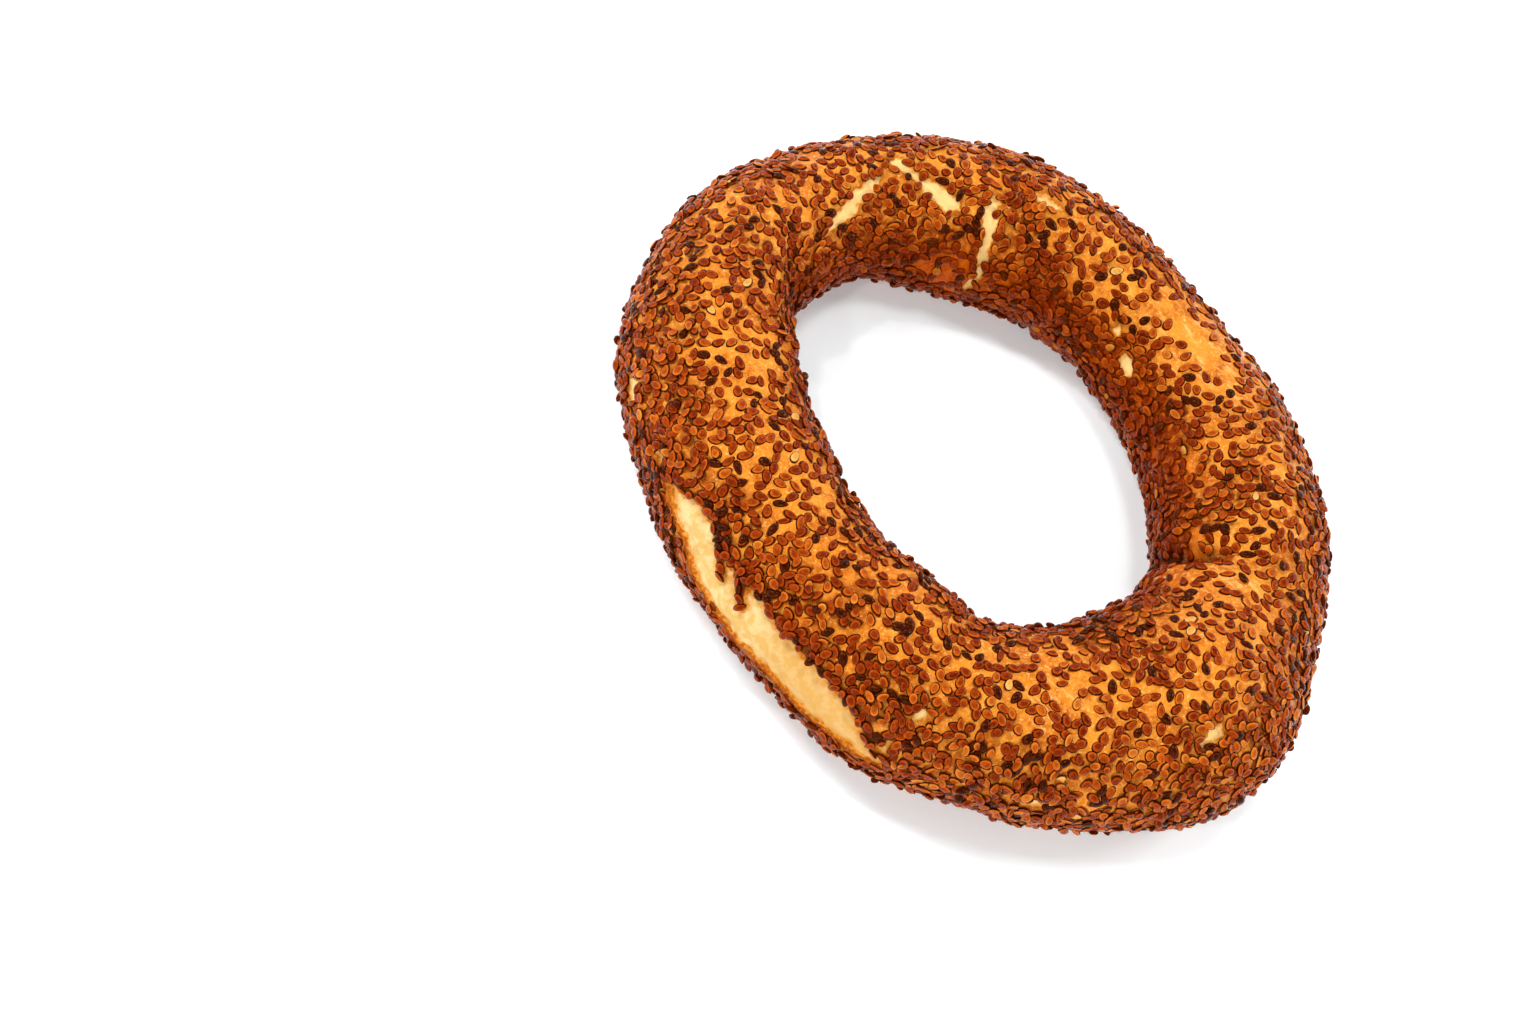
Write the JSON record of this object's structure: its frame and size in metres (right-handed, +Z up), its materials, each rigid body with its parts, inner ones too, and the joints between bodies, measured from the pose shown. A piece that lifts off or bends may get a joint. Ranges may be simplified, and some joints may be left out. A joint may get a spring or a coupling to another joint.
{
  "type": "simit",
  "caption": "Ring of bread with a browned crust under a coat of toasted sesame seeds, a pressed join and a split along one side.",
  "frame": {"origin": "centre of the ring's bounding box, on the flat underside that it rests on", "axes": "+Z up out of the crown, through the hole; +Y along the ring's longer way across, towards its thinner back; +X towards the side where the ends of the rope are pressed together"},
  "size_m": [0.1624, 0.1658, 0.0395],
  "materials": {
    "crust": "satin",
    "crumb": "matte",
    "seeds": "satin"
  },
  "bodies": {
    "root": {"simit_ring": "crust"}
  },
  "joints": []
}
